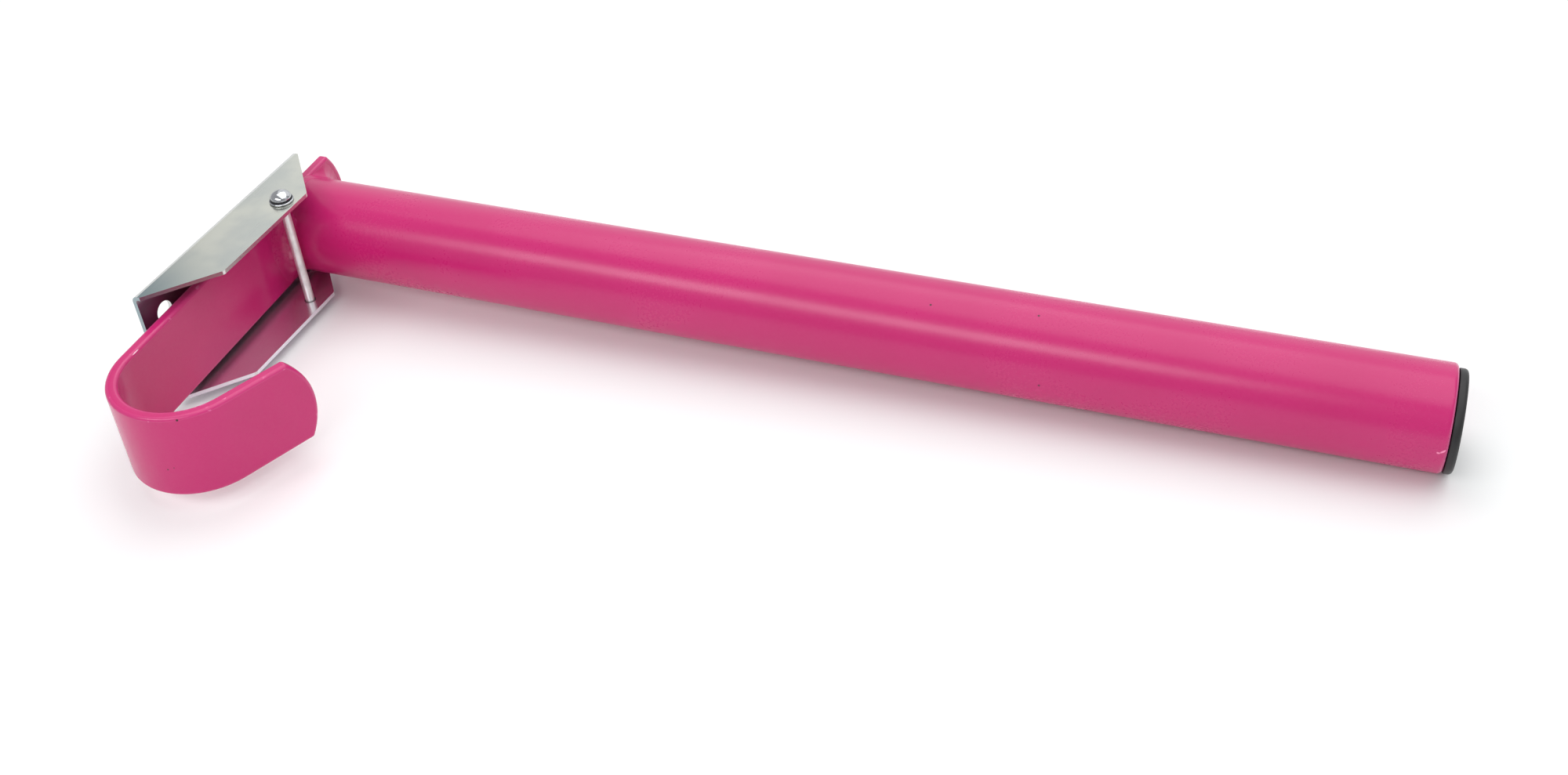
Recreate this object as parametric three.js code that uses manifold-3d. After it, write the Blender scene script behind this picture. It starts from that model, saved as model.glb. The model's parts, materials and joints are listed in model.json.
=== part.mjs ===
// Wall-mounted saddle rack arm with a bridle hook.
//
// The arm is a steel tube welded square to a flat bar. The bar's ends are bowed, and its lower end is
// bent to a J hook. The bar sits in a U-shaped wall bracket of sheet steel, between the web
// and a cross pin, and the tube's lower side rests on the pin when the arm carries a saddle.
//
// The object lies on its side. X runs along the tube, away from the wall. Y runs along the bracket,
// from the hook's end to the tube's end, and is up when the bracket is on a wall. Z is along the
// cross pin. Everything is in millimetres. The bracket is drawn with the pin's axis at X = Y = 0 and
// its middle plane at Z = 0, and the whole is then moved so that the origin is at the middle of the
// base of its box.

import * as THREE from 'three';
import { mergeVertices } from 'three/addons/utils/BufferGeometryUtils.js';
import Module from 'manifold-3d';

const wasm = await Module();
wasm.setup();

// Driving dimensions.
const TUBE_DIAMETER = 42.4;
const TUBE_WALL = 2;
const TUBE_LENGTH = 496;
const TUBE_RIM_RADIUS = 1.6;
const BAR_WIDTH = 40;
const BAR_THICKNESS = 5;
const BAR_ABOVE_TUBE_AXIS = 31.7;
const BAR_BELOW_TUBE_AXIS = 126.5;
const BAR_END_RADIUS = 33;
const BAR_CORNER_RADIUS = 1.5;
const HOOK_INNER_RADIUS = 25;
const HOOK_BEND = THREE.MathUtils.degToRad(155);
const HOOK_LEG = 37.4;
const TIP_ARC_OFFSET = 2.3;
const WELD_LEG = 8;
const SHEET = 1.8;
const SHEET_BEND_RADIUS = 1.2;
const BRACKET_WIDTH = 56;
const BRACKET_DEPTH = 27;
const WEB_BACK = -19.7;
const WEB_BELOW_PIN = 77.5;
const WEB_ABOVE_PIN = 34.5;
const FLANGE_SLANT = 26;
const FLANGE_LAND = 1.2;
const FLANGE_CORNER_RADIUS = 2;
const SCREW_HOLE_DIAMETER = 9;
const SCREW_FROM_END = 12.5;
const SCREW_SPACING = 23;
const PIN_DIAMETER = 4;
const PIN_HOLE_DIAMETER = 4.3;
const CAP_DOME_DIAMETER = 9.2;
const CAP_BRIM_DIAMETER = 10.6;
const CAP_HEIGHT = 4.8;
const CAP_SHEET = 0.5;
const CAP_BRIM_THICKNESS = 0.8;
const RING_DIAMETER = 7.6;
const RING_THICKNESS = 0.5;
const RING_TEETH = 6;
const END_CAP_DIAMETER = 40.2;
const END_CAP_THICKNESS = 3.4;
const END_CAP_PLUG_LENGTH = 18;

// How the arm lies in the bracket, with play all round the bar: the bar's back is at the web's upper
// end, its hook's end stands away from the web, and the tube's far end sinks to the ground.
const ARM_SWING = THREE.MathUtils.degToRad(2.8);
const BAR_FRONT_AT_TUBE = -12.1;
const TUBE_ABOVE_PIN = 25.5;
const TUBE_ROOT_HEIGHT = -3;
const FIT_GAP = 0.3;

// What follows from them.
const TUBE_RADIUS = TUBE_DIAMETER / 2;
const BORE_RADIUS = TUBE_RADIUS - TUBE_WALL;
const HALF_BAR = BAR_WIDTH / 2;
const HALF_BRACKET = BRACKET_WIDTH / 2;
const FLANGE_EDGE = WEB_BACK + BRACKET_DEPTH;
const GROUND = -HALF_BRACKET - CAP_HEIGHT;
const ARM_SAG = Math.asin((TUBE_ROOT_HEIGHT - TUBE_RADIUS - GROUND) / (TUBE_LENGTH + FIT_GAP));

const pinkPaint = new THREE.MeshStandardMaterial({ color: 0xc23a77, roughness: 0.32, metalness: 0 });
const zincPlate = new THREE.MeshStandardMaterial({ color: 0xb4bab7, roughness: 0.4, metalness: 0.9 });
const brightSteel = new THREE.MeshStandardMaterial({ color: 0xd4d6d8, roughness: 0.15, metalness: 1 });
const springSteel = new THREE.MeshStandardMaterial({ color: 0x6a6c70, roughness: 0.4, metalness: 0.9 });
const blackPlastic = new THREE.MeshStandardMaterial({ color: 0x1c1c1e, roughness: 0.6, metalness: 0 });

// A closed geometry as a manifold-3d solid, and back.
function toSolid(geometry) {
  const bare = new THREE.BufferGeometry();
  bare.setAttribute('position', geometry.getAttribute('position').clone());
  if (geometry.index) bare.setIndex(geometry.index.clone());
  const merged = mergeVertices(bare, 1e-4);
  return new wasm.Manifold(new wasm.Mesh({
    numProp: 3,
    vertProperties: new Float32Array(merged.getAttribute('position').array),
    triVerts: new Uint32Array(merged.index.array),
  }));
}

function toGeometry(solid) {
  const mesh = solid.getMesh();
  const geometry = new THREE.BufferGeometry();
  geometry.setAttribute('position', new THREE.Float32BufferAttribute(mesh.vertProperties, 3));
  geometry.setIndex(new THREE.Uint32BufferAttribute(mesh.triVerts, 1));
  geometry.computeVertexNormals();
  return geometry;
}

function cutAway(geometry, cutters) {
  return toGeometry(cutters.reduce((solid, cutter) => solid.subtract(toSolid(cutter)), toSolid(geometry)));
}

// A flat outline made into a plate from z = low to z = high.
function plate(shape, low, high, curveSegments = 12) {
  const geometry = new THREE.ExtrudeGeometry(shape, { depth: high - low, bevelEnabled: false, curveSegments });
  return geometry.translate(0, 0, low);
}

// A ring or cup turned round the Z axis from [radius, height] points.
function turned(points, segments = 64) {
  const outline = points.map(([radius, height]) => new THREE.Vector2(radius, height));
  return new THREE.LatheGeometry(outline, segments).rotateX(Math.PI / 2);
}

// Points along an arc in a plane, from one angle to another.
function arc(centreX, centreY, radius, from, to, steps) {
  const points = [];
  for (let i = 0; i <= steps; i++) {
    const angle = from + ((to - from) * i) / steps;
    points.push([centreX + radius * Math.cos(angle), centreY + radius * Math.sin(angle)]);
  }
  return points;
}

function shapeOf(points) {
  return new THREE.Shape(points.map(([x, y]) => new THREE.Vector2(x, y)));
}

function closed(points) {
  return [...points, points[0]];
}

// The flat bar seen along Z: straight from its upper end to the bend, round the bend, and out along
// the leg. X = 0 is its front face and Y = 0 is the tube's axis.
function barSide() {
  const bendY = -BAR_BELOW_TUBE_AXIS;
  const outerRadius = HOOK_INNER_RADIUS + BAR_THICKNESS;
  const start = Math.PI;
  const end = Math.PI + HOOK_BEND;
  const along = [Math.sin(HOOK_BEND), -Math.cos(HOOK_BEND)];
  const outer = arc(HOOK_INNER_RADIUS, bendY, outerRadius, start, end, 26);
  const inner = arc(HOOK_INNER_RADIUS, bendY, HOOK_INNER_RADIUS, end, start, 26);
  const tip = ([x, y]) => [x + along[0] * HOOK_LEG, y + along[1] * HOOK_LEG];
  return shapeOf([
    [0, BAR_ABOVE_TUBE_AXIS],
    [-BAR_THICKNESS, BAR_ABOVE_TUBE_AXIS],
    ...outer,
    tip(outer[outer.length - 1]),
    tip(inner[0]),
    ...inner,
  ]);
}

// The edge of a bowed bar end that points along X, from one side of the bar to the other: a wide arc
// between two small round corners. The arc's middle may lie off the bar's middle line.
function bowedEnd(offset) {
  const side = HALF_BAR - BAR_CORNER_RADIUS;
  const reach = BAR_END_RADIUS - BAR_CORNER_RADIUS;
  const low = Math.asin((-side - offset) / reach);
  const high = Math.asin((side - offset) / reach);
  const corner = (angle) => -BAR_END_RADIUS + reach * Math.cos(angle);
  return [
    ...arc(corner(low), -side, BAR_CORNER_RADIUS, -Math.PI / 2, low, 4),
    ...arc(-BAR_END_RADIUS, offset, BAR_END_RADIUS, low, high, 22).slice(1, -1),
    ...arc(corner(high), side, BAR_CORNER_RADIUS, high, Math.PI / 2, 4),
  ];
}

// What is cut from a square bar end to leave it bowed, for an end at Y = 0 that points along +Y, with
// the bar's faces at X = -BAR_THICKNESS and X = 0.
function endCutter(offset) {
  const margin = 2;
  const round = bowedEnd(offset);
  const shape = shapeOf([
    [round[0][0], -HALF_BAR - margin],
    [margin, -HALF_BAR - margin],
    [margin, HALF_BAR + margin],
    [round[round.length - 1][0], HALF_BAR + margin],
    ...round.reverse(),
  ]);
  const thick = plate(shape, -margin, BAR_THICKNESS + margin);
  return thick.applyMatrix4(new THREE.Matrix4().set(
    0, 0, -1, 0,
    1, 0, 0, 0,
    0, -1, 0, 0,
    0, 0, 0, 1,
  ));
}

function hookBar() {
  const legEnd = Math.PI + HOOK_BEND;
  const tip = new THREE.Vector3(
    HOOK_INNER_RADIUS + HOOK_INNER_RADIUS * Math.cos(legEnd) + HOOK_LEG * Math.sin(HOOK_BEND),
    -BAR_BELOW_TUBE_AXIS + HOOK_INNER_RADIUS * Math.sin(legEnd) - HOOK_LEG * Math.cos(HOOK_BEND),
    0,
  );
  const upperCut = endCutter(0).translate(0, BAR_ABOVE_TUBE_AXIS, 0);
  const tipCut = endCutter(TIP_ARC_OFFSET).translate(BAR_THICKNESS, 0, 0).rotateZ(legEnd);
  tipCut.translate(tip.x, tip.y, tip.z);
  return cutAway(plate(barSide(), -HALF_BAR, HALF_BAR), [upperCut, tipCut]);
}

function alongX(geometry) {
  return geometry.rotateY(Math.PI / 2);
}

function saddleTube() {
  const end = FIT_GAP + TUBE_LENGTH;
  const inRim = TUBE_RADIUS - TUBE_RIM_RADIUS;
  return alongX(turned(closed([
    [BORE_RADIUS, FIT_GAP],
    [TUBE_RADIUS, FIT_GAP],
    ...arc(inRim, end - TUBE_RIM_RADIUS, TUBE_RIM_RADIUS, 0, Math.PI / 2, 5),
    [BORE_RADIUS, end],
  ])));
}

// One of the two hollow fillets in the corners between the tube and the bar's front face. Each ends
// at the bar's edges. Side is 1 above the tube and -1 below it.
function weld(side) {
  const inside = TUBE_RADIUS + FIT_GAP;
  const centre = TUBE_RADIUS + WELD_LEG;
  const hollow = arc(centre, WELD_LEG, WELD_LEG - FIT_GAP, Math.PI * 1.5, Math.PI, 8);
  const ring = alongX(turned(closed([[inside, FIT_GAP], ...hollow.slice(0, -1), [inside, WELD_LEG]])));
  const reach = 2 * TUBE_DIAMETER;
  const kept = new THREE.BoxGeometry(reach, reach, BAR_WIDTH).translate(0, (side * reach) / 2, 0);
  return toGeometry(toSolid(ring).intersect(toSolid(kept)));
}

// The plastic insert: a round-edged cover on the tube's end and a hollow plug with fins inside it.
function tubeEndCap() {
  const face = FIT_GAP + TUBE_LENGTH + FIT_GAP;
  const top = face + END_CAP_THICKNESS;
  const edge = 2;
  const finCount = 4;
  const finRadius = BORE_RADIUS - 0.2;
  const plugRadius = BORE_RADIUS - 1.6;
  const plugBore = plugRadius - 2;
  const pitch = END_CAP_PLUG_LENGTH / (finCount + 0.5);
  const fins = [];
  for (let i = finCount; i >= 1; i--) {
    const at = face - i * pitch;
    fins.push([plugRadius, at - 0.9], [finRadius, at], [plugRadius, at + 0.9]);
  }
  const rim = arc(END_CAP_DIAMETER / 2 - edge, top - edge, edge, 0, Math.PI / 2, 5);
  return alongX(turned([
    [0, face],
    [plugBore, face],
    [plugBore, face - END_CAP_PLUG_LENGTH],
    [plugRadius, face - END_CAP_PLUG_LENGTH],
    ...fins,
    [plugRadius, face],
    [END_CAP_DIAMETER / 2, face],
    ...rim,
    [0, top],
  ], 56));
}

// The channel of folded sheet, with slanted flange ends, four screw holes and two pin holes.
function wallBracket() {
  const outerBend = SHEET_BEND_RADIUS + SHEET;
  const bendX = WEB_BACK + outerBend;
  const bendZ = HALF_BRACKET - outerBend;
  const section = shapeOf([
    [FLANGE_EDGE, HALF_BRACKET],
    ...arc(bendX, bendZ, outerBend, Math.PI / 2, Math.PI, 6),
    ...arc(bendX, -bendZ, outerBend, Math.PI, Math.PI * 1.5, 6),
    [FLANGE_EDGE, -HALF_BRACKET],
    [FLANGE_EDGE, -HALF_BRACKET + SHEET],
    ...arc(bendX, -bendZ, SHEET_BEND_RADIUS, Math.PI * 1.5, Math.PI, 4),
    ...arc(bendX, bendZ, SHEET_BEND_RADIUS, Math.PI, Math.PI / 2, 4),
    [FLANGE_EDGE, HALF_BRACKET - SHEET],
  ]);
  const channel = plate(section, -WEB_ABOVE_PIN, WEB_BELOW_PIN).rotateX(Math.PI / 2);
  const cutters = [flangeEnd(WEB_ABOVE_PIN, 1, bendX), flangeEnd(WEB_BELOW_PIN, -1, bendX)];
  for (const y of [-WEB_BELOW_PIN + SCREW_FROM_END, WEB_ABOVE_PIN - SCREW_FROM_END]) {
    for (const z of [-SCREW_SPACING / 2, SCREW_SPACING / 2]) {
      const drill = new THREE.CylinderGeometry(SCREW_HOLE_DIAMETER / 2, SCREW_HOLE_DIAMETER / 2, 4 * SHEET, 32);
      cutters.push(drill.rotateZ(Math.PI / 2).translate(WEB_BACK + SHEET / 2, y, z));
    }
  }
  const bore = new THREE.CylinderGeometry(PIN_HOLE_DIAMETER / 2, PIN_HOLE_DIAMETER / 2, 2 * BRACKET_WIDTH, 32);
  cutters.push(bore.rotateX(Math.PI / 2));
  return cutAway(channel, cutters);
}

// What is cut from both flanges at one end: from near the web's bend it slants in to the free edge,
// which it meets in a small round corner.
function flangeEnd(reach, side, bendX) {
  const start = bendX + FLANGE_LAND;
  const slant = Math.atan2(FLANGE_SLANT, FLANGE_EDGE - start);
  const inEdge = reach - FLANGE_SLANT;
  const back = FLANGE_CORNER_RADIUS * Math.tan(slant / 2);
  const corner = [FLANGE_EDGE - FLANGE_CORNER_RADIUS, inEdge - back];
  const round = arc(corner[0], corner[1], FLANGE_CORNER_RADIUS, 0, Math.PI / 2 - slant, 5);
  const margin = 3;
  const outline = [
    [start, reach],
    ...round.reverse(),
    [FLANGE_EDGE + margin, corner[1]],
    [FLANGE_EDGE + margin, reach + margin],
    [start, reach + margin],
  ];
  const ordered = side > 0 ? outline : outline.map(([x, y]) => [x, -y]).reverse();
  return plate(shapeOf(ordered), -BRACKET_WIDTH, BRACKET_WIDTH);
}

function crossPin() {
  const end = HALF_BRACKET + CAP_HEIGHT - CAP_SHEET - 0.5;
  const chamfer = 0.4;
  const radius = PIN_DIAMETER / 2;
  return turned([
    [0, -end],
    [radius - chamfer, -end],
    [radius, -end + chamfer],
    [radius, end - chamfer],
    [radius - chamfer, end],
    [0, end],
  ], 32);
}

// A domed cup with a narrow brim, drawn from thin sheet, open where the pin goes in. Its brim stands
// at Z = 0 and its dome points up.
function pinCap() {
  const domeRadius = CAP_DOME_DIAMETER / 2;
  const crownFrom = 1.6;
  const crown = [];
  const hollow = [];
  for (let i = 0; i <= 8; i++) {
    const angle = (Math.PI / 2) * (i / 8);
    const rise = Math.sin(angle);
    const out = Math.cos(angle);
    crown.push([domeRadius * out, crownFrom + (CAP_HEIGHT - crownFrom) * rise]);
    hollow.push([(domeRadius - CAP_SHEET) * out, crownFrom + (CAP_HEIGHT - CAP_SHEET - crownFrom) * rise]);
  }
  const foot = FIT_GAP / 2;
  return turned([
    ...hollow.reverse(),
    [domeRadius - CAP_SHEET, foot],
    [CAP_BRIM_DIAMETER / 2, foot],
    [CAP_BRIM_DIAMETER / 2, foot + CAP_BRIM_THICKNESS],
    [domeRadius, foot + CAP_BRIM_THICKNESS],
    ...crown,
  ], 40);
}

// A flat spring washer whose inner teeth grip the pin, at the cap's mouth.
function capRing() {
  const gripRadius = PIN_DIAMETER / 2 + 0.06;
  const rootRadius = gripRadius + 0.9;
  const shape = new THREE.Shape();
  shape.absarc(0, 0, RING_DIAMETER / 2, 0, 2 * Math.PI);
  const step = (2 * Math.PI) / RING_TEETH;
  const bite = [];
  for (let i = 0; i < RING_TEETH; i++) {
    bite.push(...arc(0, 0, gripRadius, i * step, (i + 0.6) * step, 4));
    bite.push(...arc(0, 0, rootRadius, (i + 0.7) * step, (i + 0.9) * step, 2));
  }
  shape.holes.push(new THREE.Path(bite.reverse().map(([x, y]) => new THREE.Vector2(x, y))));
  return plate(shape, 0.6, 0.6 + RING_THICKNESS, 12);
}

function piece(name, geometry, material) {
  const mesh = new THREE.Mesh(geometry, material);
  mesh.name = name;
  return mesh;
}

const bracket = new THREE.Group();
bracket.add(piece('wall_bracket', wallBracket(), zincPlate));
bracket.add(piece('cross_pin', crossPin(), brightSteel));

for (const [end, turn] of [['upper', 0], ['lower', Math.PI]]) {
  const fastener = new THREE.Group();
  fastener.add(piece(`pin_cap_${end}`, pinCap(), brightSteel));
  fastener.add(piece(`cap_ring_${end}`, capRing(), springSteel));
  fastener.rotation.x = turn;
  fastener.position.z = Math.cos(turn) * HALF_BRACKET;
  bracket.add(fastener);
}

const arm = new THREE.Group();
arm.add(piece('hook_bar', hookBar(), pinkPaint));
arm.add(piece('saddle_tube', saddleTube(), pinkPaint));
arm.add(piece('weld_upper', weld(1), pinkPaint));
arm.add(piece('weld_lower', weld(-1), pinkPaint));
arm.add(piece('tube_end_cap', tubeEndCap(), blackPlastic));
arm.rotation.set(0, ARM_SAG, ARM_SWING, 'ZYX');
arm.position.set(BAR_FRONT_AT_TUBE, TUBE_ABOVE_PIN, TUBE_ROOT_HEIGHT);

const rack = new THREE.Group();
rack.add(bracket, arm);
rack.updateMatrixWorld(true);
const box = new THREE.Box3().setFromObject(rack, true);
const middle = box.getCenter(new THREE.Vector3());
rack.position.set(-middle.x, -middle.y, -box.min.z);

export default rack;
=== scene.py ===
# A lift-off saddle rack arm with a bridle hook, lying on its side with its wall bracket.
# Lengths are in metres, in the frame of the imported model: X along the tube, Y along the bracket,
# Z along the cross pin.
import json
import math

import bmesh
import bpy
from mathutils import Matrix, Vector, noise


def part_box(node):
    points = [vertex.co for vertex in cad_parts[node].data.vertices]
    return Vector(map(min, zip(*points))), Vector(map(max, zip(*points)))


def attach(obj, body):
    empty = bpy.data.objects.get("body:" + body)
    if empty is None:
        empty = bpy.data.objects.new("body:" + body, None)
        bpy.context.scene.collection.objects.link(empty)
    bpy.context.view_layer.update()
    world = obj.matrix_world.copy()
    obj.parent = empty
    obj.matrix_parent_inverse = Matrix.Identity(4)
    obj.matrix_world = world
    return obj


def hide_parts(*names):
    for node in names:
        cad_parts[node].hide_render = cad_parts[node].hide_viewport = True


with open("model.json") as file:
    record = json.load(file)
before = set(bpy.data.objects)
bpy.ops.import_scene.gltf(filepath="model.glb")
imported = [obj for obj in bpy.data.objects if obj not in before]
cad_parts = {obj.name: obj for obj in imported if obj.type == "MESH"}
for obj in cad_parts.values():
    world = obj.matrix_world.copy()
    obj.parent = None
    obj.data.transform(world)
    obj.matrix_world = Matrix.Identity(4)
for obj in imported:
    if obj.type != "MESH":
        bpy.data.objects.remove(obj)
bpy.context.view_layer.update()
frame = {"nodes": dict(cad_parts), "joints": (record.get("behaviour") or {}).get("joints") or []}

MM = 0.001
joints = {joint["name"]: joint for joint in frame["joints"]}
pin_centre = Vector(joints["arm_tilt"]["pos_m"])
bar_axis = Vector(joints["arm_lift"]["axis"])


# The camera looks down on the object from the side of the hook. Its place is set by a direction, a
# distance and the point it looks at, and its frame is shifted down and turned a little.
def build_camera():
    azimuth = math.radians(25.1)
    elevation = math.radians(36.5)
    roll = math.radians(-5.0)
    target = pin_centre + Vector((216.1, 44.1, 0)) * MM
    distance = 747.7 * MM
    level = math.cos(elevation)
    ahead = -Vector((math.sin(azimuth) * level, -math.cos(azimuth) * level, math.sin(elevation)))
    camera = bpy.data.objects.new("camera", bpy.data.cameras.new("camera"))
    bpy.context.scene.collection.objects.link(camera)
    camera.data.sensor_width = 36
    camera.data.lens = 40.83
    camera.data.shift_y = -0.0688
    camera.data.clip_start = 0.02
    turn = ahead.to_track_quat("-Z", "Y").to_matrix() @ Matrix.Rotation(roll, 3, "Z")
    camera.matrix_world = Matrix.Translation(target - ahead * distance) @ turn.to_4x4()
    bpy.context.scene.camera = camera


build_camera()


# A white studio floor under an even pale surround. One soft box hangs over the object, another at
# the viewer's left draws the streak along the tube, and two pale screens stand behind and beside it.
FLOOR_SIZE = 12
FLOOR_DARKER = (0.895, 0.90, 0.90)
FLOOR_PALER = (0.91, 0.915, 0.915)
SURROUND = (0.98, 0.99, 1, 1)
SURROUND_STRENGTH = 0.46


class Wire:
    """A node's output, on which maths can be written."""

    def __init__(self, net, socket):
        self.net = net
        self.socket = socket

    def math(self, operation, *values):
        settings = {"operation": operation}
        return self.net.out("ShaderNodeMath", settings, dict(enumerate((self, *values))))

    def __add__(self, other):
        return self.math("ADD", other)

    def __sub__(self, other):
        return self.math("SUBTRACT", other)

    def __rsub__(self, other):
        return (self * -1) + other

    def __mul__(self, other):
        return self.math("MULTIPLY", other)

    __radd__ = __add__
    __rmul__ = __mul__

    def ramp(self, low, high):
        """0 below low, 1 above high, and smooth between."""
        settings = {"interpolation_type": "SMOOTHSTEP"}
        inputs = {"Value": self, "From Min": low, "From Max": high}
        return self.net.out("ShaderNodeMapRange", settings, inputs)


class Net:
    """A node tree that is added to one node at a time."""

    def __init__(self, tree):
        self.tree = tree

    def node(self, kind, settings=None, inputs=None):
        node = self.tree.nodes.new(kind)
        for key, value in (settings or {}).items():
            setattr(node, key, value)
        for key, value in (inputs or {}).items():
            socket = node.inputs[key]
            if isinstance(value, Wire):
                self.tree.links.new(value.socket, socket)
            else:
                socket.default_value = value
        return node

    def out(self, kind, settings=None, inputs=None, name=0):
        return Wire(self, self.node(kind, settings, inputs).outputs[name])

    def mix(self, factor, first, second):
        """A mix of two colours. The colour sockets share their names, so they go by their places."""
        first, second = [tone if isinstance(tone, Wire) else (*tone, 1) for tone in (first, second)]
        return self.out("ShaderNodeMix", {"data_type": "RGBA"}, {0: factor, 6: first, 7: second}, 2)

    def place(self, stretch=(1, 1, 1), turn=(0, 0, 0)):
        """The place on the piece, stretched and turned for a pattern."""
        where = self.out("ShaderNodeTexCoord", name="Object")
        inputs = {"Vector": where, "Rotation": turn, "Scale": stretch}
        return self.out("ShaderNodeMapping", {"vector_type": "POINT"}, inputs)

    def noise(self, scale, detail=2, where=None):
        inputs = {"Vector": where or self.place(), "Scale": scale, "Detail": detail}
        return self.out("ShaderNodeTexNoise", {"noise_dimensions": "3D"}, inputs, "Fac")


def new_material(name, constants):
    """A material with one Principled shader, and the net that feeds it."""
    material = bpy.data.materials.new(name)
    material.use_nodes = True
    shader = material.node_tree.nodes["Principled BSDF"]
    for key, value in constants.items():
        shader.inputs[key].default_value = value
    return material, Net(material.node_tree), shader


def feed(net, shader, **wires):
    """Links wires to the shader's sockets, by names with _ for a space."""
    for key, wire in wires.items():
        net.tree.links.new(wire.socket, shader.inputs[key.replace("_", " ")])


def floor_paint():
    material, net, shader = new_material("studio_floor", {"Roughness": 0.9, "Specular IOR Level": 0.1})
    tone = net.mix(net.noise(3), FLOOR_DARKER, FLOOR_PALER)
    feed(net, shader, Base_Color=tone)
    return material


def build_studio():
    bpy.ops.mesh.primitive_plane_add(size=FLOOR_SIZE, location=(0, 0, 0))
    floor = bpy.context.object
    floor.name = "studio_floor"
    floor.data.materials.append(floor_paint())
    world = bpy.data.worlds.new("surround")
    world.use_nodes = True
    surround = world.node_tree.nodes["Background"]
    surround.inputs["Color"].default_value = SURROUND
    surround.inputs["Strength"].default_value = SURROUND_STRENGTH
    bpy.context.scene.world = world
    bpy.context.scene.view_settings.view_transform = "Standard"


def area_light(name, place, aim, size, power):
    data = bpy.data.lights.new(name, "AREA")
    data.shape = "RECTANGLE"
    data.size, data.size_y = size
    data.energy = power
    light = bpy.data.objects.new(name, data)
    bpy.context.scene.collection.objects.link(light)
    light.location = place
    light.rotation_euler = (Vector(aim) - Vector(place)).to_track_quat("-Z", "Y").to_euler()


build_studio()
area_light("overhead", (0.2, 0.40, 1.7), aim=(0, 0, 0), size=(3.0, 1.8), power=25)
area_light("soft_box", (-0.25, -0.78, 0.82), aim=(-0.05, 0.05, 0.02), size=(1.1, 0.30), power=4.8)
area_light("back_screen", (-0.2, 1.9, 1.2), aim=(0, 0, 0.1), size=(3.6, 2.2), power=13)
area_light("side_screen", (1.6, 0.2, 0.9), aim=(0, 0, 0.05), size=(1.0, 1.0), power=1)


# The wall bracket is folded from zinc-plated sheet steel. Its cut edges are a little broken. The
# plating shows the rolling direction, cloudy patches and fine handling scratches. It carries a
# bluish painted reflection at the hook's end, is painted paler on the lower flange as a painted
# reflection of the pink bar, and has a painted shadow round the pin's hole.
SHEET_EDGE = 0.28 * MM
# The radius of a painted shadow round the pin's hole.
HOLE_SHADE_RADIUS = 2.75 * MM
SAME_SPOT = 2e-6
SAME_PLANE = math.radians(0.8)
ZINC_WARM = (0.64, 0.65, 0.59)
ZINC_COOL = (0.54, 0.565, 0.54)
ZINC_PATCH = (0.69, 0.69, 0.63)
# Painted reflection: a blue-grey tint at the hook's end.
ZINC_REFLECTED_BLUE = (0.27, 0.345, 0.375)
# Painted reflection: the lower flange's paler tint, which brightens its mirror image of the pink bar.
ZINC_PALER_REFLECTION = (0.87, 0.85, 0.92)
ZINC_WORN = (0.80, 0.81, 0.80)
# Painted shadow round the pin's hole.
HOLE_SHADE = (0.03, 0.03, 0.035)


def cad_copy(node, name):
    """A free copy of a CAD node with its loose triangles joined into whole faces."""
    source = frame["nodes"][node]
    piece = bpy.data.objects.new(name, source.data.copy())
    bpy.context.scene.collection.objects.link(piece)
    shape = bmesh.new()
    shape.from_mesh(piece.data)
    bmesh.ops.remove_doubles(shape, verts=shape.verts, dist=SAME_SPOT)
    bmesh.ops.dissolve_limit(
        shape, angle_limit=SAME_PLANE, verts=shape.verts, edges=shape.edges, delimit=set()
    )
    shape.to_mesh(piece.data)
    shape.free()
    piece.data.materials.clear()
    for attribute in ("custom_normal", "sharp_edge", "sharp_face"):
        if attribute in piece.data.attributes:
            piece.data.attributes.remove(piece.data.attributes[attribute])
    return piece


def made_plain(piece):
    """Applies a piece's modifiers to its mesh."""
    bpy.context.view_layer.update()
    seen = piece.evaluated_get(bpy.context.evaluated_depsgraph_get())
    mesh = bpy.data.meshes.new_from_object(seen)
    piece.modifiers.clear()
    piece.data = mesh
    return piece


def weigh_normals(piece):
    """Shades a piece smoothly, with its flat faces kept flat."""
    for face in piece.data.polygons:
        face.use_smooth = True
    normals = piece.modifiers.new("normals", "WEIGHTED_NORMAL")
    normals.keep_sharp = True
    return made_plain(piece)


def round_edges(piece, radius, steps, angle):
    """Rounds every edge that turns by more than the angle, in degrees."""
    bevel = piece.modifiers.new("edges", "BEVEL")
    bevel.width = radius
    bevel.segments = steps
    bevel.limit_method = "ANGLE"
    bevel.angle_limit = math.radians(angle)
    bevel.miter_outer = "MITER_ARC"
    bevel.use_clamp_overlap = True
    return weigh_normals(piece)


def mark_edges(piece, width):
    """Marks the narrow faces along the rounded edges with 1, and the others with 0."""
    marks = piece.data.attributes.new("edge", "FLOAT", "FACE")
    for face in piece.data.polygons:
        loop = [piece.data.vertices[i].co for i in face.vertices]
        around = sum((loop[i] - loop[i - 1]).length for i in range(len(loop)))
        marks.data[face.index].value = 1.0 if 2 * face.area / around < width else 0.0
    return piece


def give(piece, material, body, slot, *nodes):
    """Finishes a piece with its material and body and hides its nodes. The slot is not used."""
    piece.data.materials.clear()
    piece.data.materials.append(material)
    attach(piece, body)
    if nodes:
        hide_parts(*nodes)


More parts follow.
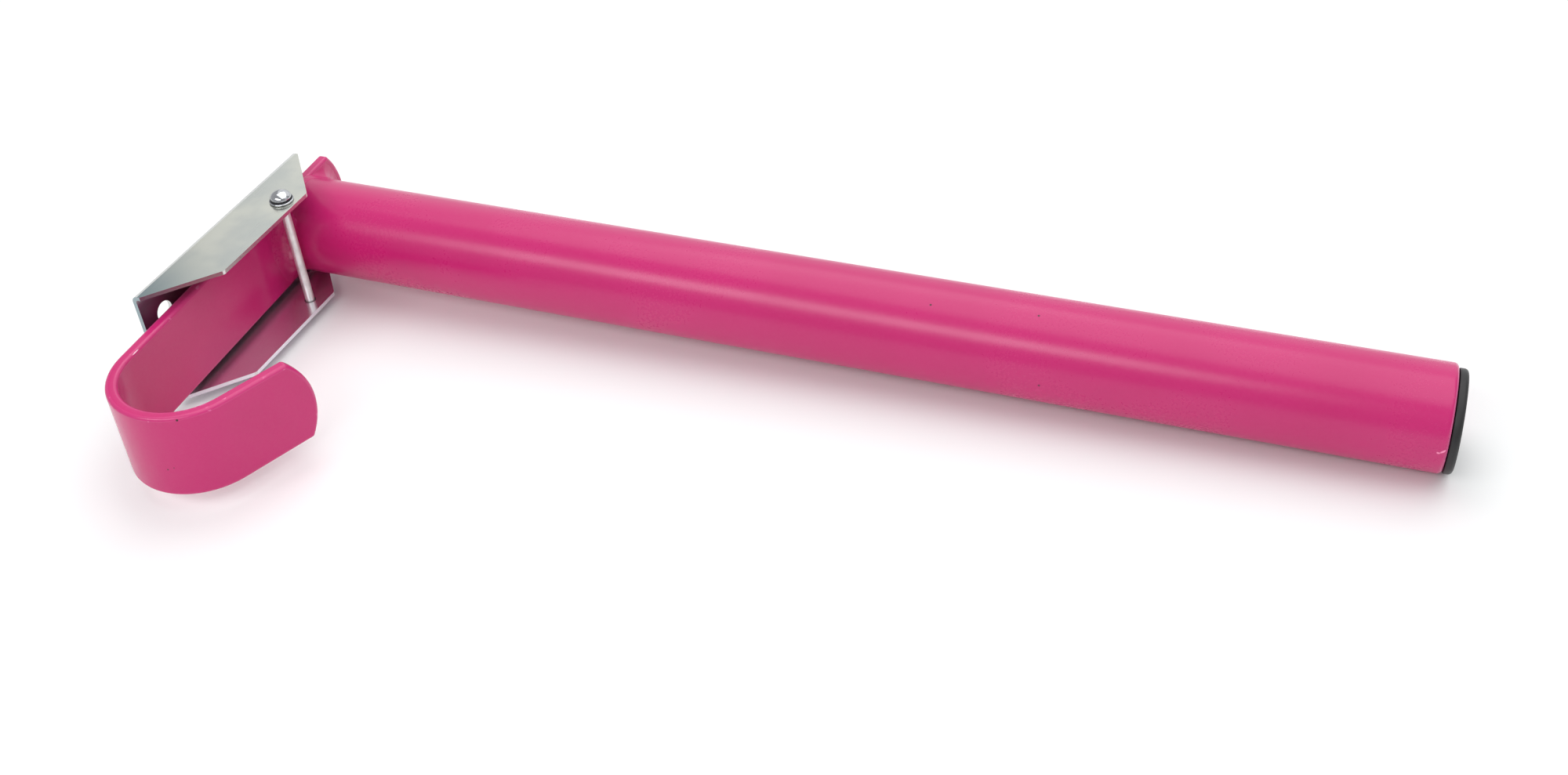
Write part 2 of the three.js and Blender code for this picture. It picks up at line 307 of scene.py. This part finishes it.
def zinc_plate():
    material, net, shader = new_material("zinc_plate", {})
    cloud = net.noise(38, 3).ramp(0.38, 0.66)
    patch = net.noise(95, 4).ramp(0.45, 0.75)
    rolled = net.noise(1, 3, net.place((900, 18, 900)))
    scratch = net.noise(1, 2, net.place((2600, 60, 2600), (0, 0, 0.5))).ramp(0.67, 0.74)
    edge = net.out("ShaderNodeAttribute", {"attribute_name": "edge"}, name="Fac")
    place = net.node("ShaderNodeSeparateXYZ", inputs={"Vector": net.place()})
    lengthwise = Wire(net, place.outputs["Y"])
    crosswise = Wire(net, place.outputs["X"])
    # Painted reflection: the plating turns bluish and darker towards the hook's end.
    blue_reflection = (1 - lengthwise.ramp(-0.050, -0.006)) * (1 - crosswise.ramp(-0.250, -0.226) * 0.55)
    grey = net.mix(cloud, ZINC_WARM, ZINC_COOL)
    grey = net.mix(patch * 0.15, grey, ZINC_PATCH)
    grey = net.mix(blue_reflection * 0.9, grey, ZINC_REFLECTED_BLUE)
    # Painted reflection: the lower flange is painted paler, so it mirrors the pink bar more brightly.
    low = (1 - Wire(net, place.outputs["Z"]).ramp(0.004, 0.020)) * (1 - edge)
    grey = net.mix(low, grey, ZINC_PALER_REFLECTION)
    grey = net.mix(scratch * 0.2 + edge * 0.88, grey, ZINC_WORN)
    # Painted shadow: a dark ring on the flanges round the pin's hole.
    where = net.out("ShaderNodeTexCoord", name="Object")
    hole = {"Vector": where, "Location": (*pin_centre.xy, 0)}
    hole["Scale"] = (HOLE_SHADE_RADIUS, HOLE_SHADE_RADIUS, 1000)
    around = net.out("ShaderNodeMapping", {"vector_type": "TEXTURE"}, hole)
    away = net.out("ShaderNodeVectorMath", {"operation": "LENGTH"}, {0: around}, "Value")
    grey = net.mix((1 - away.ramp(0.85, 1.0)) * 0.9, grey, HOLE_SHADE)
    rough = rolled * 0.04 + cloud * 0.05 - edge * 0.04 - low * 0.04 + 0.20
    height = rolled * 0.25 + net.noise(260, 2) * 0.5 - scratch * 0.5
    bump = net.out("ShaderNodeBump", inputs={"Strength": 0.008, "Distance": 0.0002, "Height": height})
    metal = 0.93 - edge * 0.45
    feed(net, shader, Base_Color=grey, Roughness=rough, Metallic=metal, Normal=bump)
    return material


bracket = cad_copy("wall_bracket", "bracket_sheet")
round_edges(bracket, SHEET_EDGE, steps=2, angle=40)
mark_edges(bracket, width=1.5 * MM)
give(bracket, zinc_plate(), "bracket", "zinc_plate", "wall_bracket")


# The cross pin is bright drawn wire. It is held by a domed push-on cap at each end, pressed from thin
# steel and plated, with a toothed spring ring closed inside it.
PIN_CHAMFER = 0.25 * MM
CAP_SHEET = 0.5 * MM
CAP_BRIM = 0.8 * MM
CAP_DOME = 4.6 * MM
CAP_CROWN = 1.5 * MM
CAP_ROOT = 0.45 * MM
CAP_CREVICE = 0.12 * MM
CAP_MOUTH = 0.3 * MM
CAP_SIDES = 64
GROOVE_OUT = (3.9 * MM, 4.85 * MM)
GROOVE_UP = (0.78 * MM, 1.7 * MM)
WIRE_BRIGHT = (0.82, 0.83, 0.81)
WIRE_DULL = (0.68, 0.69, 0.68)
CAP_BRIGHT = (0.60, 0.61, 0.64)
CAP_HAZE = (0.48, 0.49, 0.52)
# Painted shade in the crevice under each dome.
CAP_PAINTED_SHADE = (0.02, 0.02, 0.025)
SPRING_GREY = (0.20, 0.20, 0.22)
SPRING_OILED = (0.11, 0.10, 0.10)


def drawn_wire():
    material, net, shader = new_material("drawn_wire", {"Metallic": 0.62})
    drawn = net.noise(1, 3, net.place((2200, 2200, 30)))
    dull = net.noise(140, 3).ramp(0.45, 0.7)
    tone = net.mix(dull, WIRE_BRIGHT, WIRE_DULL)
    bump = net.out("ShaderNodeBump", inputs={"Strength": 0.15, "Distance": 0.0001, "Height": drawn})
    feed(net, shader, Base_Color=tone, Roughness=drawn * 0.12 + dull * 0.1 + 0.30, Normal=bump)
    return material


def plated_cap():
    material, net, shader = new_material("plated_cap", {"Metallic": 1.0})
    haze = net.noise(260, 3).ramp(0.5, 0.72)
    groove = net.out("ShaderNodeAttribute", {"attribute_name": "groove"}, name="Fac")
    tone = net.mix(haze, CAP_BRIGHT, CAP_HAZE)
    # Painted shade: the crevice faces are painted nearly black.
    tone = net.mix(groove * 0.92, tone, CAP_PAINTED_SHADE)
    dimple = net.noise(900, 2)
    bump = net.out("ShaderNodeBump", inputs={"Strength": 0.06, "Distance": 0.0001, "Height": dimple})
    feed(net, shader, Base_Color=tone, Roughness=haze * 0.1 + groove * 0.4 + 0.07, Normal=bump)
    return material


def mark_groove(piece, foot):
    """Marks the faces in the crevice between the dome and its brim. The plating there is rougher, and
    painted nearly black as painted shade.
    """
    marks = piece.data.attributes.new("groove", "FLOAT", "FACE")
    for face in piece.data.polygons:
        out = math.dist(face.center.xy, pin_centre.xy)
        up = abs(face.center.z - pin_centre.z) - foot
        inside = GROOVE_OUT[0] < out < GROOVE_OUT[1] and GROOVE_UP[0] < up < GROOVE_UP[1]
        marks.data[face.index].value = 1.0 if inside else 0.0
    return piece


def spring_steel():
    material, net, shader = new_material("spring_steel", {"Metallic": 1.0})
    oil = net.noise(500, 2).ramp(0.4, 0.6)
    tone = net.mix(oil, SPRING_GREY, SPRING_OILED)
    feed(net, shader, Base_Color=tone, Roughness=oil * 0.15 + 0.3)
    return material


def turned(name, outline, steps, place):
    """A closed turned solid. The outline is [radius, height] points, from the axis to the axis."""
    shape = bmesh.new()
    rows = []
    for radius, height in outline:
        if radius <= 0:
            rows.append([shape.verts.new(place @ Vector((0, 0, height)))])
            continue
        row = []
        for step in range(steps):
            angle = 2 * math.pi * step / steps
            spot = Vector((radius * math.cos(angle), radius * math.sin(angle), height))
            row.append(shape.verts.new(place @ spot))
        rows.append(row)
    for low, high in zip(rows, rows[1:]):
        for step in range(steps):
            after = (step + 1) % steps
            corners = [low[step % len(low)], low[after % len(low)]]
            corners += [high[after % len(high)], high[step % len(high)]]
            corners = list(dict.fromkeys(corners))
            if len(corners) > 2:
                shape.faces.new(corners)
    bmesh.ops.recalc_face_normals(shape, faces=shape.faces)
    mesh = bpy.data.meshes.new(name)
    shape.to_mesh(mesh)
    shape.free()
    piece = bpy.data.objects.new(name, mesh)
    bpy.context.scene.collection.objects.link(piece)
    for face in mesh.polygons:
        face.use_smooth = True
    return piece


def arc(centre, radius, start, end, steps):
    """Points on an arc, with angles in degrees."""
    points = []
    for step in range(steps + 1):
        angle = math.radians(start + (end - start) * step / steps)
        points.append((centre[0] + radius * math.cos(angle), centre[1] + radius * math.sin(angle)))
    return points


def pin_cap_outline(low, high, wide):
    """The pressed cap's section, from the dome's top round the brim to the hollow's top."""
    height = high - low
    crown_from = low + CAP_CROWN
    crown_rise = height - CAP_CROWN
    crown = [
        (CAP_DOME * math.sin(math.radians(a)), crown_from + crown_rise * math.cos(math.radians(a)))
        for a in range(0, 91, 6)
    ]
    lip = arc((wide - CAP_BRIM / 2, low + CAP_BRIM / 2), CAP_BRIM / 2, 90, -90, 8)
    root = arc((CAP_DOME - CAP_ROOT, crown_from), CAP_ROOT, -20, -80, 4)
    root += arc((CAP_DOME, low + CAP_BRIM + CAP_CREVICE), CAP_CREVICE, 180, 270, 3)
    inside = CAP_DOME - CAP_SHEET
    hollow_rise = crown_rise - CAP_SHEET
    hollow = [
        (inside * math.cos(math.radians(a)), crown_from + hollow_rise * math.sin(math.radians(a)))
        for a in range(0, 91, 10)
    ]
    mouth = arc((inside + CAP_MOUTH, low + CAP_MOUTH), CAP_MOUTH, 270, 180, 3)
    hollow[-1] = (0, hollow[-1][1])
    return [*crown, *root, *lip, *mouth, *hollow]


wire = cad_copy("cross_pin", "pin_wire")
round_edges(wire, PIN_CHAMFER, steps=2, angle=30)
give(wire, drawn_wire(), "pin", "bright_steel", "cross_pin")

cap_finish = plated_cap()
ring_finish = spring_steel()
for end in ("upper", "lower"):
    low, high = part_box(f"pin_cap_{end}")
    middle = (low + high) / 2
    flip = Matrix.Diagonal((1, 1, 1 if end == "upper" else -1, 1))
    foot = low.z if end == "upper" else -high.z
    top = high.z if end == "upper" else -low.z
    place = flip @ Matrix.Translation((middle.x, middle.y, 0))
    wide = (high.x - low.x) / 2
    cap = turned(f"pin_dome_{end}", pin_cap_outline(foot, top, wide), CAP_SIDES, place)
    mark_groove(cap, min(abs(low.z - pin_centre.z), abs(high.z - pin_centre.z)))
    give(cap, cap_finish, "pin", "bright_steel", f"pin_cap_{end}")
    frame["nodes"][f"cap_ring_{end}"].data.materials[0] = ring_finish


# The hook bar is 40 x 5 mm flat bar with bowed ends, bent to a J, and covered with a thick pink
# powder coat that rounds its edges, shows a fine orange peel and has a few chips and dark specks.
# Its edges are painted paler, a little for the thin coat and more as a painted highlight, and a
# painted glint lies on its top edge.
BAR_HALF_WIDTH = 20 * MM
BAR_THICKNESS = 5 * MM
BAR_EDGE = 1.5 * MM
BAR_TOP = 31.7 * MM
BAR_STRAIGHT = 126.5 * MM
END_RADIUS = 33 * MM
END_CORNER = 1.5 * MM
TIP_OFFSET = 2.3 * MM
HOOK_RADIUS = 25 * MM
BEND_RADIUS = HOOK_RADIUS + BAR_THICKNESS / 2
HOOK_BEND = math.radians(155)
BEND_STEPS = 48
STRAIGHT_CUTS = (-BAR_TOP + 12 * MM, 40 * MM, 90 * MM)
HOOK_LEG = 37.4 * MM
TUBE_ROOT = Vector((-12.1, 25.5, -3.0)) * MM
TUBE_RADIUS = 21.2 * MM
TUBE_LENGTH = 496 * MM
TUBE_GAP = 0.3 * MM
PINK = (0.560, 0.0110, 0.150)
PINK_DEEP = (0.500, 0.0085, 0.126)
PINK_PALE = (0.80, 0.20, 0.42)
DIRT = (0.06, 0.008, 0.02)
SPECK = (0.05, 0.006, 0.015)
BAR_SPECKS = ((175.0, -6.0, 0.42), (177.5, -5.0, 0.32), (184.2, 18.8, 0.60))
# A painted highlight: a thin pale glint along the bar's top edge.
EDGE_GLINT = (0.92, 0.66, 0.76)
GLINT_FROM = Vector((119.6, 19.5, -0.5)) * MM
GLINT_TO = Vector((124.6, 19.5, -0.5)) * MM
GLINT_WIDTH = 0.24 * MM

tube_root = pin_centre + TUBE_ROOT
swing = math.atan2(-bar_axis.x, bar_axis.y)
sag = math.asin((tube_root.z - TUBE_RADIUS) / (TUBE_LENGTH + TUBE_GAP))
arm_place = (
    Matrix.Translation(tube_root) @ Matrix.Rotation(swing, 4, "Z") @ Matrix.Rotation(sag, 4, "Y")
)


def powder_coat(name, seed, dullness, marks=()):
    """Pink powder coat. A mark is a colour and the place, turn and size of a small round patch."""
    material, net, shader = new_material(name, {"IOR": 1.5})
    where = net.out("ShaderNodeTexCoord", name="Object")
    shifted = net.out("ShaderNodeMapping", inputs={"Vector": where, "Location": (seed, 0, 0)})
    cloud = net.noise(16, 2, shifted).ramp(0.3, 0.7)
    grain = net.noise(700, 3, shifted)
    peel = net.noise(270, 2, shifted)
    swell = net.noise(70, 2, shifted)
    cells = {"Vector": shifted, "Scale": 62, "Randomness": 1.0}
    dots = net.out("ShaderNodeTexVoronoi", {"feature": "F1"}, cells, "Distance")
    dirt = (1 - dots.ramp(0.025, 0.042)) * net.noise(31, 1, shifted).ramp(0.60, 0.64)
    edge = net.out("ShaderNodeAttribute", {"attribute_name": "edge"}, name="Fac")
    # Paler flecks on the edges: chips in the coat, which also stand in as painted glints.
    chips_and_glints = edge.math("MINIMUM", 1.0) * net.noise(190, 3, shifted).ramp(0.635, 0.685)
    tone = net.mix(cloud * 0.6, PINK, PINK_DEEP)
    tone = net.mix(grain * 0.05, tone, PINK_PALE)
    # The edges are painted paler, a little for the thin coat there and more as a painted highlight.
    tone = net.mix(edge * 0.10 + chips_and_glints * 0.45, tone, PINK_PALE)
    tone = net.mix(dirt, tone, DIRT)
    for colour, place, turn, size in marks:
        inputs = {"Vector": where, "Location": place, "Rotation": turn, "Scale": size}
        there = net.out("ShaderNodeMapping", {"vector_type": "TEXTURE"}, inputs)
        away = net.out("ShaderNodeVectorMath", {"operation": "LENGTH"}, {0: there}, "Value")
        tone = net.mix(1 - away.ramp(0.6, 1.0), tone, colour)
    rough = cloud * 0.04 + grain * 0.05 + dirt * 0.3 + dullness
    height = peel + swell * 1.2 + grain * 0.15 - chips_and_glints + dirt * 0.8
    bump = net.out("ShaderNodeBump", inputs={"Strength": 0.11, "Distance": 0.0003, "Height": height})
    feed(net, shader, Base_Color=tone, Roughness=rough, Normal=bump)
    return material


def bowed_end(offset):
    """A bar end's edge, from one side to the other: a wide arc between two small round corners."""
    side = BAR_HALF_WIDTH - END_CORNER
    reach = END_RADIUS - END_CORNER
    low = math.asin((-side - offset) / reach)
    high = math.asin((side - offset) / reach)
    first = arc((reach * math.cos(low), -side), END_CORNER, -90, math.degrees(low), 5)
    wide = arc((0, offset), END_RADIUS, math.degrees(low), math.degrees(high), 26)
    last = arc((reach * math.cos(high), side), END_CORNER, math.degrees(high), 90, 5)
    return [(x - END_RADIUS, y) for x, y in (*first, *wide[1:-1], *last)]


def bent(spot):
    """Moves a point of the flat blank to its place on the bent bar: X is the length along it."""
    along, across, up = spot
    turn = min(max((along - BAR_STRAIGHT) / BEND_RADIUS, 0), HOOK_BEND)
    rest = along - BAR_STRAIGHT - turn * BEND_RADIUS
    radius = HOOK_RADIUS - up
    x = HOOK_RADIUS - radius * math.cos(turn) + rest * math.sin(turn)
    y = -BAR_STRAIGHT - radius * math.sin(turn) - rest * math.cos(turn)
    return arm_place @ Vector((x, y, across))


def hook_bar_mesh():
    """The blank's outline is thickened, its edges are rounded, and it is cut across and bent."""
    bend_length = HOOK_BEND * BEND_RADIUS
    length = BAR_STRAIGHT + bend_length + HOOK_LEG
    outline = [(length + x, -y) for x, y in bowed_end(TIP_OFFSET)]
    outline += [(-BAR_TOP - x, y) for x, y in bowed_end(0)]
    shape = bmesh.new()
    rims = []
    for height in (0, -BAR_THICKNESS):
        rims.append([shape.verts.new((x, y, height)) for x, y in outline])
    upper, lower = rims
    shape.faces.new(upper)
    shape.faces.new(reversed(lower))
    for index in range(len(outline)):
        after = (index + 1) % len(outline)
        shape.faces.new((upper[after], upper[index], lower[index], lower[after]))
    rim_edges = [edge for edge in shape.edges if edge.verts[0].co.z == edge.verts[1].co.z]
    bmesh.ops.recalc_face_normals(shape, faces=shape.faces)
    bmesh.ops.bevel(
        shape, geom=rim_edges, offset=BAR_EDGE, segments=5, profile=0.5, affect="EDGES"
    )
    stations = [BAR_STRAIGHT + bend_length * step / BEND_STEPS for step in range(BEND_STEPS + 1)]
    for station in (*stations, *STRAIGHT_CUTS, length - 12 * MM):
        every = [*shape.verts, *shape.edges, *shape.faces]
        bmesh.ops.bisect_plane(shape, geom=every, plane_co=(station, 0, 0), plane_no=(1, 0, 0))
    for vert in shape.verts:
        vert.co = bent(vert.co)
    shape.normal_update()
    bmesh.ops.recalc_face_normals(shape, faces=shape.faces)
    mesh = bpy.data.meshes.new("hook_bar_coated")
    shape.to_mesh(mesh)
    shape.free()
    return mesh


def streak(start, end, width):
    """The place, turn and size of a thin patch that runs from one point to another."""
    line = end - start
    turn = line.to_track_quat("X", "Z").to_euler()
    return (start + end) / 2, turn, (line.length / 2, width, width)


def bar_marks():
    """Dark specks outside the bend, and a painted glint on the edge above it."""
    marks = []
    for along, across, size in BAR_SPECKS:
        spot = bent(Vector((along * MM, across * MM, -BAR_THICKNESS)))
        marks.append((SPECK, spot, (0, 0, 0), Vector((1, 1, 1)) * size * MM))
    marks.append((EDGE_GLINT, *streak(bent(GLINT_FROM), bent(GLINT_TO), GLINT_WIDTH)))
    return marks


bar = bpy.data.objects.new("hook_bar_coated", hook_bar_mesh())
bpy.context.scene.collection.objects.link(bar)
weigh_normals(bar)
mark_edges(bar, width=0.7 * MM)
bar_coat = powder_coat("pink_bar", seed=0.31, dullness=0.17, marks=bar_marks())
give(bar, bar_coat, "arm", "pink_paint", "hook_bar")


# The saddle tube is a length of steel pipe, cut square, under the same powder coat. It is drawn by
# sweeping the section of its wall round its axis. Its far rim carries a painted highlight.
TUBE_WALL = 2.0 * MM
TUBE_RIM = 1.6 * MM
TUBE_SIDES = 160
SMALL_ROUND = 0.3 * MM
# The width and mark of the painted highlight on the far rim.
RIM_HIGHLIGHT_WIDTH = 0.45 * MM
RIM_HIGHLIGHT_MARK = 6.0
TUBE_SPECKS = (
    (340.0, 165.5), (344.3, 86.3), (297.0, 156.6), (120.0, 50.0), (402.0, 250.0), (205.0, 310.0)
)
SPECK_SIZE = 0.55 * MM
FRESH = (0.95, 0.30, 0.50)
NICKS = (((492.3, 91.6), (493.8, 90.6)), ((493.4, 90.9), (496.2, 97.0)))
NICK_WIDTH = 0.5 * MM
along_tube = arm_place @ Matrix.Rotation(math.pi / 2, 4, "Y")


def new_tree(name, inputs):
    """A Geometry Nodes tree with a geometry in and out and named float or integer inputs."""
    tree = bpy.data.node_groups.new(name, "GeometryNodeTree")
    tree.interface.new_socket("Geometry", in_out="INPUT", socket_type="NodeSocketGeometry")
    tree.interface.new_socket("Geometry", in_out="OUTPUT", socket_type="NodeSocketGeometry")
    for label, value in inputs.items():
        kind = "NodeSocketInt" if isinstance(value, int) else "NodeSocketFloat"
        socket = tree.interface.new_socket(label, in_out="INPUT", socket_type=kind)
        socket.default_value = value
    net = Net(tree)
    start = net.node("NodeGroupInput")
    return net, {label: Wire(net, start.outputs[label]) for label in ("Geometry", *inputs)}


def finish_tree(net, shape, material):
    """Ends a tree with Realize Instances, smooth shading and Set Material."""
    real = net.out("GeometryNodeRealizeInstances", inputs={"Geometry": shape})
    smooth = net.out("GeometryNodeSetShadeSmooth", inputs={"Geometry": real})
    painted = net.out("GeometryNodeSetMaterial", inputs={"Geometry": smooth, "Material": material})
    net.node("NodeGroupOutput", inputs={"Geometry": painted})


def grown(name, net, values):
    """A piece grown by a tree, as a plain mesh."""
    piece = bpy.data.objects.new(name, bpy.data.meshes.new(name))
    bpy.context.scene.collection.objects.link(piece)
    modifier = piece.modifiers.new("grow", "NODES")
    modifier.node_group = net.tree
    for item in net.tree.interface.items_tree:
        if item.in_out == "INPUT" and item.name in values:
            modifier[item.identifier] = values[item.name]
    return made_plain(piece)


def pipe_tree(material):
    """A pipe swept round a circle. Its outer far rim has a wide round, and the others a small one."""
    sizes = {"Radius": 0.02, "Wall": 0.002, "Length": 0.5, "Rim": 0.0005, "Start": 0.0, "Sides": 64}
    net, given = new_tree("pipe", sizes)
    middle = given["Radius"] - given["Wall"] * 0.5
    round_path = {"Resolution": given["Sides"], "Radius": middle}
    path = net.out("GeometryNodeCurvePrimitiveCircle", {"mode": "RADIUS"}, round_path)
    section = {"Width": given["Wall"], "Height": given["Length"]}
    wall = net.out("GeometryNodeCurvePrimitiveQuadrilateral", {"mode": "RECTANGLE"}, section)
    spot = net.out("GeometryNodeInputPosition")
    split = net.node("ShaderNodeSeparateXYZ", inputs={"Vector": spot})
    outer = Wire(net, split.outputs["X"]).math("GREATER_THAN", 0.0)
    far = Wire(net, split.outputs["Y"]).math("LESS_THAN", 0.0)
    wide = outer * far * given["Rim"]
    soft = {"Curve": wall, "Radius": wide + SMALL_ROUND, "Count": 6}
    wall = net.out("GeometryNodeFilletCurve", {"mode": "POLY"}, soft)
    swept = {"Curve": path, "Profile Curve": wall}
    body = net.out("GeometryNodeCurveToMesh", inputs=swept)
    lift = net.out("ShaderNodeCombineXYZ", inputs={"Z": given["Start"] + given["Length"] * 0.5})
    moved = net.out("GeometryNodeTransform", inputs={"Geometry": body, "Translation": lift})
    finish_tree(net, moved, material)
    return net


def on_tube(along, degrees):
    """A place on the tube: the angle is 0 at its lowest line and 90 on the hook's side."""
    angle = math.radians(degrees)
    spot = Vector((along * MM, -TUBE_RADIUS * math.sin(angle), -TUBE_RADIUS * math.cos(angle)))
    return arm_place @ spot


def tube_marks():
    """Dark specks along the tube, and a nick near the end cap where the coat is freshly broken."""
    size = Vector((1, 1, 1)) * SPECK_SIZE
    marks = [(SPECK, on_tube(*place), (0, 0, 0), size) for place in TUBE_SPECKS]
    for start, end in NICKS:
        marks.append((FRESH, *streak(on_tube(*start), on_tube(*end), NICK_WIDTH)))
    return marks


def mark_rim_highlight(piece):
    """Marks the last of the far rim's round, where a painted highlight makes the coat pale."""
    unplaced = arm_place.inverted()
    for face in piece.data.polygons:
        spot = unplaced @ face.center
        out = math.hypot(spot.y, spot.z)
        if spot.x > TUBE_GAP + TUBE_LENGTH - RIM_HIGHLIGHT_WIDTH and out > TUBE_RADIUS - TUBE_WALL:
            piece.data.attributes["edge"].data[face.index].value = RIM_HIGHLIGHT_MARK


tube_coat = powder_coat("pink_tube", seed=0.0, dullness=0.24, marks=tube_marks())
tube_sizes = {
    "Radius": TUBE_RADIUS,
    "Wall": TUBE_WALL,
    "Length": TUBE_LENGTH,
    "Rim": TUBE_RIM,
    "Start": TUBE_GAP,
    "Sides": TUBE_SIDES,
}
tube = grown("saddle_pipe", pipe_tree(tube_coat), tube_sizes)
tube.data.transform(along_tube)
mark_edges(tube, width=0.2 * MM)
mark_rim_highlight(tube)
give(tube, tube_coat, "arm", "pink_paint", "saddle_tube")


# The weld is one hand-laid fillet round the tube's root. It is wide above and below the tube, and
# wraps over the bar's edges as a small bead where the tube overhangs them. Paint fills its ripples.
WELD_LEG = 8.0 * MM
WELD_WRAP = 3.2 * MM
WELD_SINK = 1.5 * MM
WELD_WANDER = 0.12
WELD_RIPPLE = 0.05 * MM
WELD_RIPPLES = 34
WELD_ROOT = 0.6 * MM
WELD_STEPS = 240
WELD_ROWS = 14
WRAP_FROM = 0.80
WRAP_SPAN = 0.18
BEAD_INSIDE = 1.1 * MM
BEAD_REACH = 1.15 * MM


def weld_section(angle):
    """The weld's surface at one angle round the tube, as [radius, height] from bar to tube."""
    side = abs(math.sin(angle))
    wander = noise.noise(Vector((math.cos(angle), math.sin(angle), 0.4)) * 1.7)
    wander += 0.35 * noise.noise(Vector((math.cos(angle), math.sin(angle), 2.4)) * 5)
    over = min(max((side - WRAP_FROM) / WRAP_SPAN, 0), 1)
    over = over * over * (3 - 2 * over)
    edge = (BAR_HALF_WIDTH - BEAD_INSIDE + BEAD_REACH * over) / max(side, 0.01)
    foot = min(TUBE_RADIUS + WELD_LEG * (1 + WELD_WANDER * wander), edge)
    share = min(max((foot - TUBE_RADIUS) / WELD_LEG, 0), 1)
    rise = (WELD_WRAP + (WELD_LEG - WELD_WRAP) * share) * (1 - WELD_WANDER * wander)
    low = Vector((foot, -0.06 * MM - WELD_SINK * over))
    high = Vector((TUBE_RADIUS - 0.05 * MM, rise))
    hollow = Vector((TUBE_RADIUS + 0.04 * WELD_LEG, 0.04 * WELD_LEG))
    bulge = Vector((TUBE_RADIUS + 1.5 * MM, -0.3 * MM))
    pull = hollow.lerp(bulge, over)
    ripple = WELD_RIPPLE * math.sin(WELD_RIPPLES * angle + 3 * wander)
    points = []
    for index in range(WELD_ROWS + 1):
        at = index / WELD_ROWS
        spot = low * (1 - at) ** 2 + pull * 2 * at * (1 - at) + high * at**2
        fade = math.sin(math.pi * at)
        points.append(spot + Vector((ripple, ripple)) * fade)
    return points


def weld_mesh():
    """The sections set round the tube's root, each closed just inside the tube's surface."""
    inside = TUBE_RADIUS - WELD_ROOT
    shape = bmesh.new()
    rows = []
    for step in range(WELD_STEPS):
        angle = 2 * math.pi * step / WELD_STEPS
        section = weld_section(angle)
        section.append(Vector((inside, section[-1].y)))
        section.append(Vector((inside, min(section[0].y, -0.1 * MM))))
        row = []
        for out, up in section:
            spot = Vector((up, out * math.cos(angle), out * math.sin(angle)))
            row.append(shape.verts.new(arm_place @ spot))
        rows.append(row)
    for step in range(WELD_STEPS):
        here, after = rows[step], rows[(step + 1) % WELD_STEPS]
        for index in range(len(here)):
            following = (index + 1) % len(here)
            shape.faces.new((here[index], after[index], after[following], here[following]))
    bmesh.ops.recalc_face_normals(shape, faces=shape.faces)
    mesh = bpy.data.meshes.new("weld_fillet")
    shape.to_mesh(mesh)
    shape.free()
    for face in mesh.polygons:
        face.use_smooth = True
    return mesh


weld = bpy.data.objects.new("weld_fillet", weld_mesh())
bpy.context.scene.collection.objects.link(weld)
weld_coat = powder_coat("pink_weld", seed=0.17, dullness=0.24)
give(weld, weld_coat, "arm", "pink_paint", "weld_upper", "weld_lower")


# The end cap is one black plastic moulding: a round-edged cover on the tube's rim, and a hollow plug
# with springy fins that grip the bore.
COVER_RADIUS = 20.2 * MM
COVER_THICKNESS = 3.4 * MM
COVER_EDGE = 1.6 * MM
COVER_HEEL = 0.4 * MM
COVER_DROP = 0.85 * MM
PLUG_RADIUS = 17.0 * MM
PLUG_WALL = 2 * MM
PLUG_LENGTH = 18 * MM
FIN_COUNT = 4
FIN_PITCH = 4 * MM
FIN_FOOT = 0.9 * MM
FIN_GAP = 1.1 * MM
END_CAP_SIDES = 128
BLACK = (0.011, 0.011, 0.012)
BLACK_WORN = (0.022, 0.021, 0.022)


def moulded_black():
    material, net, shader = new_material("moulded_black", {"IOR": 1.49})
    grain = net.noise(1500, 3)
    worn = net.noise(70, 3).ramp(0.45, 0.75)
    tone = net.mix(worn * 0.6, BLACK, BLACK_WORN)
    bump = net.out("ShaderNodeBump", inputs={"Strength": 0.25, "Distance": 0.0002, "Height": grain})
    feed(net, shader, Base_Color=tone, Roughness=worn * 0.12 + grain * 0.1 + 0.40, Normal=bump)
    return material


def end_cap_outline():
    """The moulding's section: the dished cover, its rim, the fins and the hollow plug."""
    face = TUBE_GAP + TUBE_LENGTH + TUBE_GAP
    top = face + COVER_THICKNESS
    bore = PLUG_RADIUS - PLUG_WALL
    fins = []
    for index in range(FIN_COUNT):
        at = face - (FIN_COUNT - index) * FIN_PITCH
        tip = (TUBE_RADIUS - TUBE_WALL - FIN_GAP, at)
        fins += [(PLUG_RADIUS, at - FIN_FOOT), tip, (PLUG_RADIUS, at + FIN_FOOT)]
    dish = [(0, top - 0.35 * MM), (9 * MM, top - 0.33 * MM), (15 * MM, top - 0.12 * MM)]
    rim = arc((COVER_RADIUS - COVER_EDGE, top - COVER_EDGE), COVER_EDGE, 90, 0, 8)
    heel = arc((COVER_RADIUS - COVER_HEEL, face + COVER_HEEL), COVER_HEEL, 0, -90, 3)
    plug = [(PLUG_RADIUS, face), *reversed(fins), (PLUG_RADIUS, face - PLUG_LENGTH)]
    hollow = [(bore, face - PLUG_LENGTH), (bore, face), (0, face)]
    return [*dish, *rim, *heel, *plug, *hollow]


cap_place = Matrix.Translation((0, 0, -COVER_DROP)) @ along_tube
end_cap = turned("end_cap_moulding", end_cap_outline(), END_CAP_SIDES, cap_place)
give(end_cap, moulded_black(), "arm", "black_plastic", "tube_end_cap")
